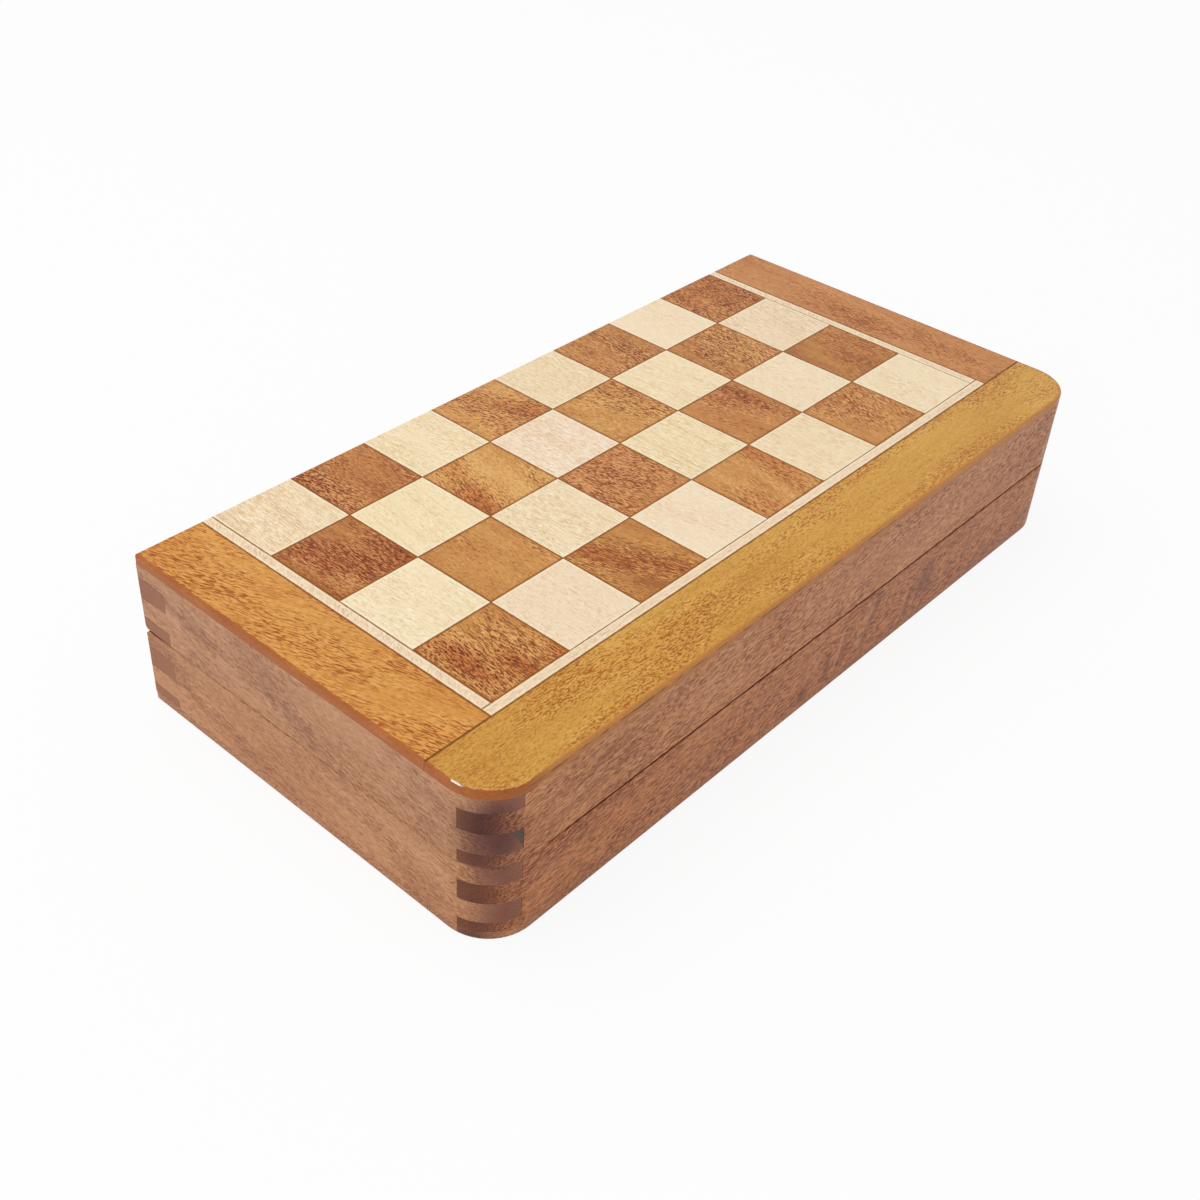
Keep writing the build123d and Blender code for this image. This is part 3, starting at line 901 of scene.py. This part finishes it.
def metal(name, look, rings=None):
    mat = Material(name)
    cloud = mat.noise(mat.place, look["cloudScale"], 3.0, 0.6)
    if rings is None:
        lines = mat.noise(mat.place, look["lineScale"], 3.0, 0.7)
    else:
        lines = mat.noise(mat.joined(rings(mat)), (hardware["turnedLines"], 1, 1), 3.0, 0.7)
    dust = mat.drops(mat.place, look["spotScale"], 0.2, 0.3, 0.2)
    level, rough = 0.5, look["roughness"]
    for source, toneShare, roughShare in ((cloud, 0.9, 0.16), (lines, 0.7, 0.18)):
        level = mat.add(level, source, toneShare)
        rough = mat.add(rough, source, roughShare)
    colour = mat.lay(mat.ramp(level, look["tones"]), look["spotTone"], dust, look["spotShare"])
    relief = mat.bump(mat.minus(1.0, dust), look["spotDepth"], mat.bump(lines, look["lineDepth"]))
    return mat.surface({"Base Color": colour, "Metallic": 1, "Roughness": rough, "Normal": relief})


brassLook = {
    "tones": tones((168, 120, 58), (206, 162, 90), (226, 190, 124), 0.1), "roughness": 0.30,
    "spotTone": (120, 82, 42), "spotScale": 900, "spotShare": 0.5, "spotDepth": 0.01 * mm,
    "cloudScale": 160, "lineScale": (60, 4200, 4200), "lineDepth": 0.012 * mm,
}
steelLook = vary(
    brassLook, tones=tones((132, 132, 136), (170, 172, 176), (200, 202, 206), 0.1),
    spotTone=(96, 92, 90), lineDepth=0.008 * mm, roughness=0.24,
)
nickelLook = vary(
    steelLook, tones=tones((166, 162, 154), (194, 191, 184), (214, 212, 206), 0.1),
    roughness=0.18, lineDepth=0.004 * mm,
)

leaves = [f"{side}_hinge_{half}_leaf" for side in ("left", "right") for half in halves]
give(metal("brushedBrass", brassLook), *leaves)
turnedLook = vary(brassLook, roughness=0.26)
give(metal("turnedBrass", turnedLook, screwRings), "base_hinge_screws", "lid_hinge_screws")
give(metal("drawnSteel", steelLook), "left_hinge_pin", "right_hinge_pin")
give(metal("magnetNickel", nickelLook, magnetRings), "base_magnets", "lid_magnets")
print("hinges, screws and magnets finished")

foam = {
    "files": 8, "slotWidth": 20 * mm, "slotCorner": 2 * mm, "sideGap": 0.2 * mm,
    "slotLengths": lengths(34, 50),  # pawns in front, officers beside the hinge
    "rimRound": 1.1 * mm, "edgeRound": 1.0 * mm, "footRound": 0.2 * mm,
    "sag": 0.18 * mm,  # how far the foam dips towards each slot
    "ripple": 0.10 * mm, "rippleScale": 90,
    "rimSteps": 4, "wallRings": 7, "straightPoints": 9, "edgeAngles": (30, 60, 90),
    "weld": 0.01 * mm,
}

velvet = {"steps": (72, 34), "edgeRound": 0.35 * mm, "ripple": 0.07 * mm, "rippleScale": 60}


def onArc(centre, radius, degrees):
    angle = math.radians(degrees)
    return centre + radius * Vector((math.cos(angle), math.sin(angle)))


def roundedLoop(middle, halfSize, radius):
    # a rounded rectangle, as quarters that run from the middle of one arc to the middle of the next
    reach = halfSize - Vector((radius, radius))
    signs = ((1, 1), (-1, 1), (-1, -1), (1, -1))
    centres = [Vector((middle.x + x * reach.x, middle.y + y * reach.y)) for x, y in signs]
    steps = foam["straightPoints"]
    points = []
    for turn, centre in enumerate(centres):
        start = turn * 90
        after = centres[(turn + 1) % 4]
        points += [onArc(centre, radius, start + angle) for angle in (45, 67.5, 90)]
        outward = points[-1] - centre
        points += [centre.lerp(after, step / steps) + outward for step in range(1, steps)]
        points += [onArc(after, radius, start + angle) for angle in (90, 112.5)]
    return points


def cellLoop(slotLoop, middle, halfSlot, low, high):
    # the same points pushed out to the cell's own rectangle; every quarter starts in a corner
    points = []
    for index, point in enumerate(slotLoop):
        away = Vector(((point.x - middle.x) / halfSlot.x, (point.y - middle.y) / halfSlot.y))
        atCorner = index % (len(slotLoop) // 4) == 0
        lengthwise = abs(away.x) > abs(away.y)
        if atCorner or lengthwise:
            away.x = math.copysign(1, away.x)
        if atCorner or not lengthwise:
            away.y = math.copysign(1, away.y)
        x = middle.x + away.x * (high.x - middle.x if away.x > 0 else middle.x - low.x)
        y = middle.y + away.y * (high.y - middle.y if away.y > 0 else middle.y - low.y)
        points.append(Vector((x, y)))
    return points


def addBand(mesh, outer, inner):
    # faces between two closed rings of vertices
    for index, vertex in enumerate(outer):
        after = (index + 1) % len(outer)
        mesh.faces.new((vertex, outer[after], inner[after], inner[index]))


def insertMesh(half):
    # a foam block with two rows of slots, drawn cell by cell and then closed around its outer side
    low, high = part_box(half + "_insert")
    height = high.z - low.z
    files, corner = foam["files"], foam["slotCorner"]
    rim, edge = foam["rimRound"], foam["edgeRound"]
    left, front = (side - foam["sideGap"] for side in (low.x, low.y))
    pitch = (high.x - low.x + 2 * foam["sideGap"]) / files
    depth = high.y - low.y + 2 * foam["sideGap"]
    pawnLength, officerLength = foam["slotLengths"]
    rail = (depth - pawnLength - officerLength) / 3
    split = front + rail * 1.5 + pawnLength
    inner = Vector((low.x + edge, low.y + edge)), Vector((high.x - edge, high.y - edge))
    rows = (  # where the slots start, their length, and the limits of their cells
        (front + rail, pawnLength, inner[0].y, split),
        (front + 2 * rail + pawnLength, officerLength, split, inner[1].y),
    )
    top = height - foam["sag"] - rim
    mesh = bmesh.new()
    for file in range(files):
        sides = max(left + file * pitch, inner[0].x), min(left + (file + 1) * pitch, inner[1].x)
        for start, length, cellFront, cellBack in rows:
            middle = Vector((left + (file + 0.5) * pitch, start + length / 2))
            halfSlot = Vector((foam["slotWidth"] / 2, length / 2))
            wall = roundedLoop(middle, halfSlot, corner)
            cell = Vector((sides[0], cellFront)), Vector((sides[1], cellBack))
            border = cellLoop(wall, middle, halfSlot, *cell)
            rings = [(border, height)]
            for step in range(foam["rimSteps"] + 1):
                angle = math.radians(90 * step / foam["rimSteps"])
                out = rim * (1 - math.sin(angle))
                loop = roundedLoop(middle, halfSlot + Vector((out, out)), corner + out)
                rings.append((loop, top + rim * math.cos(angle)))
            for step in range(1, foam["wallRings"] + 1):
                rings.append((wall, top * (1 - step / foam["wallRings"])))
            rings.append((border, 0))
            made = [[mesh.verts.new((point.x, point.y, level)) for point in loop] for loop, level in rings]
            for upper, lower in zip(made, made[1:]):
                addBand(mesh, upper, lower)
    bmesh.ops.remove_doubles(mesh, verts=mesh.verts, dist=foam["weld"])
    roundOuterEdge(mesh, inner, height, edge)
    for vertex in mesh.verts:
        if vertex.co.z > height / 2:
            wave = noise.noise(vertex.co * foam["rippleScale"] + Vector((0, 0, 3 + len(half))))
            vertex.co.z += (wave - 1) * foam["ripple"]
        vertex.co.z = high.z - vertex.co.z if half == "lid" else low.z + vertex.co.z
    return mesh


def roundOuterEdge(mesh, inner, height, radius):
    # the open rims above and below are rounded over and joined by the foam's outer side
    def side(value, low, high):
        return (value > high - foam["weld"]) - (value < low + foam["weld"])

    def spot(vertex):
        return round(vertex.co.x / mm, 2), round(vertex.co.y / mm, 2)

    low, high = inner
    rims = [edge for edge in mesh.edges if edge.is_boundary and edge.verts[0].co.z > height / 2]
    below = [vertex for vertex in mesh.verts if vertex.is_boundary and vertex.co.z < height / 2]
    bottoms = {spot(vertex): vertex for vertex in below}
    columns = {}
    for vertex in dict.fromkeys(vertex for edge in rims for vertex in edge.verts):
        place = vertex.co
        away = Vector((side(place.x, low.x, high.x), side(place.y, low.y, high.y), 0))
        places = []
        for angle in map(math.radians, foam["edgeAngles"]):
            drop = Vector((0, 0, 1 - math.cos(angle)))
            places.append(place + radius * (away * math.sin(angle) - drop))
        for level in (height / 2, foam["footRound"]):
            places.append(Vector((places[-1].x, places[-1].y, level)))
        columns[vertex] = [vertex, *map(mesh.verts.new, places), bottoms[spot(vertex)]]
    for edge in rims:
        first, second = (columns[vertex] for vertex in edge.verts)
        for index in range(len(first) - 1):
            mesh.faces.new((first[index], second[index], second[index + 1], first[index + 1]))


def liningMesh(half):
    # a closed sheet of cloth whose edges are soft and whose pile lies a little uneven
    low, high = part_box(half + "_floor_lining")
    across, along = velvet["steps"]
    scale = velvet["rippleScale"]
    mesh = bmesh.new()
    rims = []
    for level, inward in ((high.z, -1), (low.z, 1)):
        layer = []
        for row in range(along + 1):
            y = low.y + (high.y - low.y) * row / along
            line = []
            for column in range(across + 1):
                x = low.x + (high.x - low.x) * column / across
                onRim = row in (0, along) or column in (0, across)
                sink = velvet["edgeRound"] if onRim else 0
                if (inward > 0) == (half == "lid"):  # the side with the pile
                    wave = noise.noise(Vector((x * scale, y * scale, 5 + len(half))))
                    sink += velvet["ripple"] * (0.5 - 0.5 * wave)
                line.append(mesh.verts.new((x, y, level + inward * sink)))
            layer.append(line)
        for near, far in zip(layer, layer[1:]):
            for column in range(across):
                mesh.faces.new((near[column], near[column + 1], far[column + 1], far[column]))
        rims.append(layer[0][:-1] + [line[-1] for line in layer[:-1]]
                    + layer[-1][:0:-1] + [line[0] for line in layer[:0:-1]])
    addBand(mesh, *rims)
    return mesh


def flock(name, look):
    mat = Material(name)
    nap = mat.noise(mat.place, look["napScale"], 3.0, 0.6)
    fluff = mat.noise(mat.place, look["fluffScale"], 2.0, 0.7)
    pressed = mat.noise(mat.place, look["pressedScale"], 1.0)
    level = mat.add(mat.add(mat.add(0.5, nap, 0.6), fluff, 0.8), pressed, 0.5)
    lint = mat.drops(mat.place, look["lintScale"], 0.10, 0.3, 0.1)
    colour = mat.lay(mat.ramp(level, look["tones"]), look["lintTone"], lint, look["lintShare"])
    relief = mat.bump(mat.maths("ADD", fluff, nap), look["fluffDepth"])
    return mat.surface({
        "Base Color": colour, "Roughness": mat.add(0.92, fluff, 0.1), "Normal": relief,
        "Specular IOR Level": 0.1,
        "Sheen Weight": look["sheen"], "Sheen Roughness": 0.45, "Sheen Tint": tone(*look["sheenTone"]),
    })


flockLook = {
    "tones": tones((10, 48, 32), (20, 66, 45), (34, 86, 60), 0.1),
    "napScale": 220, "fluffScale": 2600, "pressedScale": 40, "fluffDepth": 0.12 * mm,
    "lintTone": (150, 170, 156), "lintScale": 420, "lintShare": 0.35,
    "sheen": 0.5, "sheenTone": (150, 200, 170),
}
velvetLook = vary(
    flockLook, tones=tones((8, 42, 30), (18, 62, 44), (36, 92, 66), 0.1),
    napScale=(90, 420, 220), fluffScale=(1500, 3800, 2600), sheen=0.8,
)

flockMaterial = flock("insertFlock", flockLook)
velvetMaterial = flock("liningVelvet", velvetLook)
for half in halves:
    insert = addPiece(half + "_insert_flocked", insertMesh(half), flockMaterial, half)
    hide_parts(half + "_insert")
    lining = addPiece(half + "_lining_velvet", liningMesh(half), velvetMaterial, half)
    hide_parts(half + "_floor_lining")
print("insert and lining finished")

room = {
    "seenStrength": 1.0,  # the white background
    "lightStrength": 0.50,
    "floorTone": (0.93, 0.93, 0.93, 1),
    "floorGlow": 0.9,
    "floorReach": 4.0,
    "floorDrop": 0.2 * mm,
    "lamps": (  # name, place, aim, side and power
        ("overhead", (-0.3, 0.4, 1.4), (0, 0, 0), 1.2, 10),
        ("leftWindow", (-1.4, -0.3, 0.7), (0, 0, 0.02), 0.8, 4),
    ),
}

view = {
    "place": (-0.28808, -0.21854, 0.27679),
    "aim": (-0.06548, -0.02443, 0.048),
    "lens": 45.76,
    "shift": 0.0342,  # the box stands to the left of the frame's middle
    "roll": 2.732,
}


def whiteRoom():
    # plain white for the camera and for mirror rays, and a dimmer light for all else
    world = bpy.data.worlds.new("softRoom")
    bpy.context.scene.world = world
    world.use_nodes = True
    tree = world.node_tree
    rays = addNode(tree, "LightPath", {}).outputs
    seen = rays["Is Camera Ray"]
    for name in ("Is Glossy Ray", "Is Transmission Ray"):
        seen = addNode(tree, "Math", {0: seen, 1: rays[name]}, operation="MAXIMUM").outputs[0]
    strength = addNode(tree, "MapRange", {0: seen, 3: room["lightStrength"], 4: room["seenStrength"]})
    background = tree.nodes["Background"]
    background.inputs[0].default_value = (1, 1, 1, 1)
    tree.links.new(strength.outputs[0], background.inputs[1])


def paleFloor():
    mat = Material("paleFloor")
    rays = mat.node("LightPath", {}).outputs
    plain = mat.node("BsdfDiffuse", {"Color": room["floorTone"]})
    glow = mat.node("Emission", {"Color": (1, 1, 1, 1), "Strength": 1.0})
    seen = mat.maths("MAXIMUM", rays["Is Camera Ray"], rays["Is Glossy Ray"])
    share = mat.times(seen, room["floorGlow"])
    mesh = bpy.data.meshes.new("floor")
    reach = room["floorReach"]
    corners = [(x, y, 0) for x, y in ((-reach, -reach), (reach, -reach), (reach, reach), (-reach, reach))]
    mesh.from_pydata(corners, [], [(0, 1, 2, 3)])
    mesh.materials.append(mat.surface({0: share, 1: plain.outputs[0], 2: glow.outputs[0]}, "MixShader"))
    ground = addObject("floor", mesh)
    ground.location.z = -room["floorDrop"]


def softLamp(name, place, aim, side, power):
    lamp = bpy.data.lights.new(name, "AREA")
    lamp.shape = "RECTANGLE"
    lamp.size = side
    lamp.size_y = side
    lamp.energy = power
    body = addObject(name, lamp)
    body.location = place
    body.rotation_euler = (Vector(aim) - Vector(place)).to_track_quat("-Z", "Y").to_euler()


def camera():
    lens = bpy.data.cameras.new("camera")
    lens.lens = view["lens"]
    lens.shift_x = view["shift"]
    body = addObject("camera", lens)
    body.location = view["place"]
    body.rotation_mode = "QUATERNION"
    level = (Vector(view["aim"]) - Vector(view["place"])).to_track_quat("-Z", "Y")
    body.rotation_quaternion = level @ Quaternion((0, 0, 1), math.radians(view["roll"]))
    bpy.context.scene.camera = body


whiteRoom()
paleFloor()
for lamp in room["lamps"]:
    softLamp(*lamp)
camera()
bpy.context.scene.view_settings.view_transform = "Standard"
print("studio ready")
